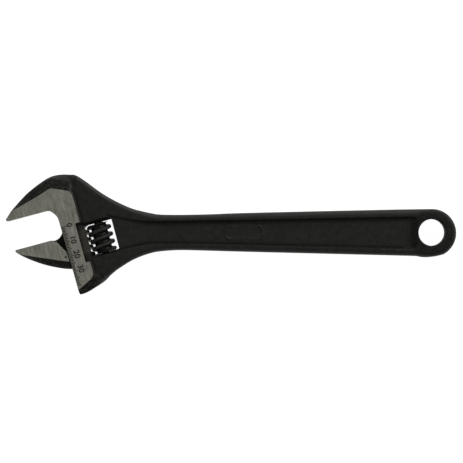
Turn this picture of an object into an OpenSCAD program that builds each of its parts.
// Adjustable wrench, 300 mm size, lying flat on one side of its head.
// +X runs down the handle, +Y towards the fixed jaw, +Z through the thickness.
// Head shapes are placed by u, along the jaw faces towards the handle, and s, the way the
// movable jaw opens. u = 0, s = 0 lies on the face of the fixed jaw.

/* [Overall] */
// Angle between the jaw faces and the handle, degrees
jaw_angle = 15; // [14:0.5:16]
// How far the jaws stand open as drawn
jaw_gap = 20; // [18:0.5:22]
// Thickness over the ground faces of the head
ground_t = 18; // [17.5:0.5:20]
// Thickness of the head beside the worm's window
head_t = 15; // [14.5:0.5:16]

/* [Handle] */
// Thickness over the raised rims
rim_t = 12.4; // [11:0.2:14]
// Thickness of the recessed web between the rims
web_t = 7.2; // [6:0.2:9]
// Radius of the rounded end
end_r = 16; // [15:0.5:16.5]
// Radius of the hang hole
hang_r = 8.9; // [7:0.1:10]

/* [Slide] */
// Radius of the movable jaw's slide rod
rod_r = 6.8; // [6.6:0.05:6.9]
// Radial clearance of the rod in its bore
rod_clear = 0.08; // [0.05:0.01:0.1]
// Thickness of the neck between jaw and rod
neck_t = 7.2; // [6:0.2:8]
// Depth of the rack teeth in the rod
rack_depth = 2.6; // [2.2:0.1:2.8]

/* [Worm] */
// Outside radius of the worm
worm_r = 8.2; // [8:0.1:8.3]
// Radius at the root of the worm's thread
worm_root_r = 5.35; // [5.2:0.05:5.6]
// Axial pitch of the single-start right-hand thread
worm_pitch = 5; // [5:0.1:5]
// Length of the worm
worm_len = 19.7; // [19:0.1:19.8]
// Width of the thread at its crest
crest_w = 1.7; // [1.4:0.1:1.9]

/* [Hidden] */
mid_z = ground_t / 2;

// Where u = 0, s = 0 lies
jaw_x = -134.54;
jaw_y = 12.81;

// Handle end and rail
end_x = 134;
end_y = 0.9;
rail_u = 17.8;
throat_r = 7.5;
edge_z = 3;
flank_reach = 0.25;
rail_gap = 0.15;

// Window that the worm turns in
win_u0 = 28.2;
win_u1 = 52.1;
win_s0 = 16.3;
win_s1 = 36.75;
win_flare = 2.2;

// Slide bore, worm axis and thread
rod_u = 28.9;
rod_s0 = 11.4;
rod_s1 = 48;
bore_s0 = -9.8;
slot_s0 = -4.2;
slot_clear = 0.15;
worm_u = 42.3;
worm_s1 = win_s1 - 0.08;
worm_s0 = worm_s1 - worm_len;
crest_s = 20.6;
flank_angle = 15;
mesh_r = 7.2;
lead_angle = atan(worm_pitch / (2 * PI * mesh_r));
backlash = 0.3;
worm_steps = 36;

// Pin and spring
pin_r = 2.5;
pin_clear = 0.05;
pin_thread_r = 3;
pin_s0 = 8.6;
pin_thread_s = 45;
pin_s1 = 50.7;
slot_w = 1;
slot_d = 1.4;
cup_r = 4.1;
cup_depth = 5.5;
spring_r = 3.35;
wire_r = 0.4;
spring_turns = 4;
spring_steps = 12;
wire_sides = 8;

function at(u, s) = [
    jaw_x + u * cos(jaw_angle) + s * sin(jaw_angle),
    jaw_y + u * sin(jaw_angle) - s * cos(jaw_angle)
];

// A smooth curve through points, with n steps from each to the next
function catmull(a, b, c, d, t) =
    0.5 * ((2 * b) + (c - a) * t + (2 * a - 5 * b + 4 * c - d) * t * t
    + (3 * b - a - 3 * c + d) * t * t * t);
function smooth(p, n) = [
    for (i = [0 : len(p) - 2], k = [0 : n - 1])
        catmull(
            i == 0 ? 2 * p[0] - p[1] : p[i - 1], p[i], p[i + 1],
            i == len(p) - 2 ? 2 * p[i + 1] - p[i] : p[i + 2], k / n
        ),
    p[len(p) - 1]
];
function arc(centre, r, a0, a1, n) = [
    for (i = [0 : n]) centre + r * [cos(a0 + (a1 - a0) * i / n), sin(a0 + (a1 - a0) * i / n)]
];

// Outline of the head and handle, from the tip of the fixed jaw round by the handle's end
jaw_back = smooth([
    at(-15.7, -1.6), at(-10, -7), at(0, -13.5), at(10, -18.3), at(20, -21.1), at(26.4, -20.7),
    at(32.9, -19.05), at(36, -17.7), at(41.4, -12.2), at(53.4, 3)
], 3);
neck_top = smooth([
    [-74.2, 20.7], [-61.1, 15.8], [-47.7, 13.4], [-34, 13], [5.7, 14.2], [60, 15.4], [118, 16.7]
], 3);
handle_end = arc([end_x, end_y], end_r, 92, -92, 22);
neck_bottom = smooth([
    [120, -14.3], [60, -12.6], [5.7, -11.1], [-34, -10.1], [-47.7, -10.9], [-61.1, -14.6],
    [-71, -19.8], [-80.5, -26.8]
], 3);
head_foot = [at(41.2, 52.8), at(36.9, 55.4), at(29.3, 58), at(25, 59.4), at(19.4, 59.8), at(18.2, 58.8)];
body_outline = concat([at(-15.2, 0.5)], jaw_back, neck_top, handle_end, neck_bottom, head_foot);

// The ground face of the fixed jaw and rail, each point paired with one on the foot of its flank
ground_pairs = [
    [at(-15.2, 0.5), at(-15.2, 0.5), 2], [at(-15.4, -1.2), at(-15.7, -1.6), 2],
    [at(-10, -5.9), at(-10, -7), edge_z], [at(-5, -7.6), at(-5, -10.6), edge_z],
    [at(0, -9), at(0, -13.5), edge_z], [at(6.7, -11), at(6.2, -16.7), edge_z],
    [at(13.4, -13), at(13, -19.3), edge_z], [at(18, -13.7), at(20, -21.1), edge_z],
    [at(24, -11.8), at(26.4, -20.7), edge_z], [at(29.5, -9.4), at(33, -19), edge_z],
    [at(30.8, -7.6), at(37, -12), edge_z], [at(31.1, -5), at(37.1, -5), edge_z],
    [at(31.1, 46.5), at(37.1, 46.5), edge_z], [at(30.4, 49.9), at(36.4, 51.8), edge_z],
    [at(28.6, 51.7), at(31, 57.4), 7.3], [at(24, 53.9), at(25, 59.3), 7.3],
    [at(17, 57), at(17, 58.6), 7.3]
];

// The dark plateau round the window, as its edge and the foot of its slopes
plateau_pairs = [
    [at(20, -8), at(20, -12), edge_z], [at(30, -14), at(32.9, -19), edge_z],
    [at(36.5, -13), at(38.7, -15.2), edge_z], [at(45, -2.6), at(46.8, -5), edge_z],
    [at(52, 5.2), at(53.4, 3), edge_z], [at(58.5, 12), at(62.5, 10.9), edge_z],
    [at(60, 22), at(74, 22), edge_z], [at(57.5, 38), at(72, 36), edge_z],
    [at(54, 44), at(57.4, 46.8), edge_z], [at(48.4, 47.5), at(49.4, 49.3), edge_z],
    [at(40.6, 51), at(41.2, 52.8), edge_z], [at(36.4, 53.6), at(36.9, 55.4), edge_z],
    [at(29.3, 56), at(29.3, 58), edge_z], [at(20, 57), at(20, 59.3), edge_z]
];

// A solid with a top outline and a foot outline on both sides of its middle plane
module forged(top, foot, top_z, foot_z) {
    n = len(top);
    rings = [
        [for (i = [0 : n - 1]) [top[i][0], top[i][1], -top_z[i]]],
        [for (i = [0 : n - 1]) [foot[i][0], foot[i][1], -foot_z[i]]],
        [for (i = [0 : n - 1]) [foot[i][0], foot[i][1], foot_z[i]]],
        [for (i = [0 : n - 1]) [top[i][0], top[i][1], top_z[i]]]
    ];
    points = [for (ring = rings, p = ring) p];
    walls = [
        for (r = [0 : 2], i = [0 : n - 1], half = [0, 1])
            let (a = r * n + i, b = r * n + (i + 1) % n)
                half == 0 ? [a, b, b + n] : [a, b + n, a + n]
    ];
    caps = [[for (i = [n - 1 : -1 : 0]) i], [for (i = [0 : n - 1]) 3 * n + i]];
    polyhedron(points, concat(walls, caps), convexity = 6);
}

// The same from [top point, foot point, foot height]. The flanks run on past the foot by reach
// and above the top by lift, as shares of their own width, and the ground faces are then cut flat.
module forged_pairs(pairs, top_z, reach = 0, lift = 0.15) {
    span = 500;
    intersection() {
        forged(
            [for (p = pairs) p[0] - lift * (p[1] - p[0])], [for (p = pairs) p[1] + reach * (p[1] - p[0])],
            [for (p = pairs) top_z + lift * (top_z - p[2])], [for (p = pairs) p[2] - reach * (top_z - p[2])]
        );
        cube([span, span, 2 * top_z], center = true);
    }
}

// Puts a child drawn along u and -s into its place on the head
module on_head() {
    translate([jaw_x, jaw_y, 0])
        rotate(jaw_angle)
            children();
}

// A cylinder along the slide direction, from s0 to s1
module along_s(u, s0, s1, r) {
    on_head()
        translate([u, -s0, 0])
            rotate([90, 0, 0])
                cylinder(r = r, h = s1 - s0, $fn = 64);
}

// The space between the fixed jaw's face and the rail, with the round of the throat
module jaw_opening() {
    far = 80;
    on_head()
        linear_extrude(4 * mid_z, center = true)
            difference() {
                translate([rail_u - far, -far])
                    square(far);
                difference() {
                    translate([rail_u - throat_r, -throat_r])
                        square(throat_r + 1);
                    translate([rail_u - throat_r, -throat_r])
                        circle(r = throat_r, $fn = 64);
                }
            }
}

module window() {
    top_z = mid_z + 1;
    flank_z = 4.5;
    on_head()
        translate([win_u0, 0, 0])
            rotate([90, 0, 90])
                linear_extrude(win_u1 - win_u0)
                    polygon([
                        [-win_s0 + win_flare, top_z], [-win_s0, flank_z],
                        [-win_s0, -flank_z], [-win_s0 + win_flare, -top_z],
                        [-win_s1 - win_flare, -top_z], [-win_s1, -flank_z],
                        [-win_s1, flank_z], [-win_s1 - win_flare, top_z]
                    ]);
}

// The slot that the neck slides in, from the throat out through the foot of the head
module neck_slot() {
    width = neck_t + 2 * slot_clear;
    u0 = rail_u - throat_r + 2;
    far_s = 62;
    on_head()
        translate([u0, -far_s, -width / 2])
            cube([rod_u - u0, far_s - slot_s0, width]);
}

// The handle's block at the height of its rims, sloping up out of the head
module rim_block() {
    x0 = -84;
    x1 = -70;
    far_x = 160;
    far_y = 45;
    forged_pairs([
        [[x1, far_y], [x0, far_y], edge_z], [[far_x, far_y], [far_x, far_y], edge_z],
        [[far_x, -far_y], [far_x, -far_y], edge_z], [[x1, -far_y], [x0, -far_y], edge_z]
    ], rim_t / 2, flank_reach);
}

// Everything inside the outline before any hole is cut
module body_blank() {
    band_z = 2.4;
    intersection() {
        linear_extrude(ground_t + 2, center = true)
            polygon(body_outline);
        union() {
            translate([-200, -60, -band_z])
                cube([400, 120, 2 * band_z]);
            rim_block();
            forged_pairs(plateau_pairs, head_t / 2, flank_reach);
            forged_pairs(ground_pairs, ground_t / 2, flank_reach);
        }
    }
}

// One recess of the handle's web, with a rounded end next to the hang hole
module web_recess() {
    web_top = smooth([
        [-71, 11.6], [-61, 9.5], [-50, 8.2], [-34, 8], [5.7, 8.8], [60, 9.7], [116, 10.6]
    ], 3);
    web_bottom = smooth([
        [116, -8.6], [60, -7.3], [5.7, -6.2], [-34, -5.3], [-50, -5.6], [-61, -7.6], [-72, -11.2]
    ], 3);
    linear_extrude(mid_z)
        polygon(concat(web_top, [[122.2, 9], [121.2, 1.4], [122.2, -6.8]], web_bottom));
}

module wrench_body() {
    color("#343533")
        translate([0, 0, mid_z])
            difference() {
                body_blank();
                jaw_opening();
                window();
                neck_slot();
                along_s(rod_u, bore_s0, 62, rod_r + rod_clear);
                along_s(worm_u, pin_s0 - 0.4, pin_thread_s, pin_r + pin_clear);
                along_s(worm_u, pin_thread_s, 56, pin_thread_r + pin_clear);
                for (side = [0, 1])
                    mirror([0, 0, side])
                        translate([0, 0, web_t / 2])
                            web_recess();
                translate([end_x - 0.5, end_y + 0.55, -mid_z])
                    cylinder(r = hang_r, h = 2 * mid_z, $fn = 96);
            }
}

// The same for the movable jaw, with its face on s = 0, from the face's tip round by the rail
jaw_side_u = rail_u - rail_gap;
jaw_pairs = [
    [[-14.6, 0], [-14.6, 0], 1.6], [[10.4, 0], [10.4, 0], edge_z], [[12.9, 0.7], [12.9, 0.7], edge_z],
    [[17.4, 9], [17.4, 7.8], edge_z], [[jaw_side_u, 10.6], [jaw_side_u, 9.4], edge_z],
    [[jaw_side_u, 16.3], [jaw_side_u, 21.6], edge_z], [[13.4, 14.7], [13, 20.2], edge_z],
    [[6.7, 12.4], [6.5, 17.3], edge_z], [[1.7, 10.8], [0.5, 14], edge_z],
    [[-3.3, 9.1], [-4.5, 10.7], edge_z], [[-7.5, 7], [-9, 7.2], edge_z],
    [[-11.4, 4.7], [-13.4, 3.6], edge_z], [[-14.6, 1.2], [-15, 1.2], 1.6],
    [[-15, 0.4], [-15, 0.4], 1.6]
];

module jaw_block() {
    placed = [
        for (p = jaw_pairs)
            [at(p[0][0], p[0][1] + jaw_gap), at(p[1][0], p[1][1] + jaw_gap), p[2]]
    ];
    forged_pairs(placed, ground_t / 2 - 0.3);
}

// The flat plate that joins jaw and rod, with the hollow curve at the top of the neck
module neck() {
    rise = 3;
    curve_w = 5;
    curve_h = 3.6;
    curve = [
        for (a = [0 : 18 : 90])
            at(rail_u - curve_w + curve_w * sin(a), jaw_gap - rise + curve_h * cos(a))
    ];
    linear_extrude(neck_t, center = true)
        polygon(concat(
            [at(10, jaw_gap + 1.5)], curve,
            [at(rod_u, jaw_gap - rise), at(rod_u, jaw_gap + 21.6), at(10, jaw_gap + 17)]
        ));
}

module rack_grooves() {
    crest_u = worm_u - worm_r;
    root_u = rod_u + rod_r - rack_depth;
    far_u = rod_u + rod_r + 1;
    lean = tan(flank_angle);
    half = crest_w / 2 + backlash;
    half_root = half - (crest_u - root_u) * lean;
    half_far = half + (far_u - crest_u) * lean;
    for (k = [-1 : 6])
        on_head()
            translate([0, -(crest_s - worm_pitch / 2 + worm_pitch * k), 0])
                rotate([-lead_angle, 0, 0])
                    linear_extrude(3 * rod_r, center = true)
                        polygon([
                            [root_u, -half_root], [far_u, -half_far],
                            [far_u, half_far], [root_u, half_root]
                        ]);
}

module movable_jaw() {
    color("#8c8b82")
        translate([0, 0, mid_z])
            union() {
                jaw_block();
                neck();
                difference() {
                    along_s(rod_u, rod_s0, rod_s1, rod_r);
                    rack_grooves();
                }
            }
}

// The thread as one ridge round the worm's own Z axis, through z = 0 at angle 0
module thread_ridge() {
    turns_up = (crest_s - worm_s0) / worm_pitch + 0.5;
    turns_down = (worm_s1 - crest_s) / worm_pitch + 0.5;
    inner_r = worm_root_r - 0.4;
    half_in = crest_w / 2 + (worm_r - inner_r) * tan(flank_angle);
    first = -ceil(turns_down * worm_steps);
    last = ceil(turns_up * worm_steps);
    section = [
        [inner_r, -half_in], [worm_r, -crest_w / 2], [worm_r, crest_w / 2], [inner_r, half_in]
    ];
    points = [
        for (i = [first : last], p = section)
            let (t = 360 * i / worm_steps)
                [p[0] * cos(t), p[0] * sin(t), p[1] + worm_pitch * t / 360]
    ];
    n = last - first;
    sides = [
        for (i = [0 : n - 1], j = [0 : 3], half = [0, 1])
            let (a = 4 * i + j, b = 4 * i + (j + 1) % 4)
                half == 0 ? [a, b, b + 4] : [a, b + 4, a + 4]
    ];
    ends = [[3, 2, 1, 0], [4 * n, 4 * n + 1, 4 * n + 2, 4 * n + 3]];
    polyhedron(points, concat(sides, ends), convexity = 10);
}

module worm_knurl() {
    color("#2c2d2c")
        translate([0, 0, mid_z])
            difference() {
                union() {
                    along_s(worm_u, worm_s0, worm_s1, worm_root_r);
                    intersection() {
                        on_head()
                            translate([worm_u, -crest_s, 0])
                                rotate([-90, 0, 0])
                                    thread_ridge();
                        along_s(worm_u, worm_s0, worm_s1, worm_r + 1);
                    }
                }
                along_s(worm_u, worm_s0 - 1, worm_s1 + 1, pin_r + pin_clear);
                along_s(worm_u, worm_s0 - 1, worm_s0 + cup_depth, cup_r);
            }
}

module worm_pin() {
    color("#3d3e3d")
        translate([0, 0, mid_z])
            difference() {
                union() {
                    along_s(worm_u, pin_s0, pin_thread_s + 0.5, pin_r);
                    along_s(worm_u, pin_thread_s + 0.2, pin_s1, pin_thread_r);
                }
                on_head()
                    translate([worm_u - pin_thread_r - 1, -pin_s1 - 1, -slot_w / 2])
                        cube([2 * pin_thread_r + 2, slot_d + 1, slot_w]);
            }
}

module worm_spring() {
    floor_s = worm_s0 + cup_depth;
    top_s = win_s0 + wire_r + 0.05;
    pitch = (floor_s - wire_r - 0.05 - top_s) / spring_turns;
    n = spring_turns * spring_steps;
    points = [
        for (i = [0 : n], j = [0 : wire_sides - 1])
            let (t = 360 * i / spring_steps, a = 360 * j / wire_sides, r = spring_r + wire_r * cos(a))
                [r * cos(t), r * sin(t), wire_r * sin(a) + pitch * t / 360]
    ];
    sides = [
        for (i = [0 : n - 1], j = [0 : wire_sides - 1], half = [0, 1])
            let (a = wire_sides * i + j, b = wire_sides * i + (j + 1) % wire_sides)
                half == 0 ? [a, b + wire_sides, b] : [a, a + wire_sides, b + wire_sides]
    ];
    ends = [
        [for (j = [0 : wire_sides - 1]) j],
        [for (j = [wire_sides - 1 : -1 : 0]) wire_sides * n + j]
    ];
    color("#9a9c9c")
        translate([0, 0, mid_z])
            on_head()
                translate([worm_u, -floor_s + wire_r + 0.05, 0])
                    rotate([-90, 0, 0])
                        polyhedron(points, concat(sides, ends), convexity = 10);
}

wrench_body();
movable_jaw();
worm_knurl();
worm_pin();
worm_spring();
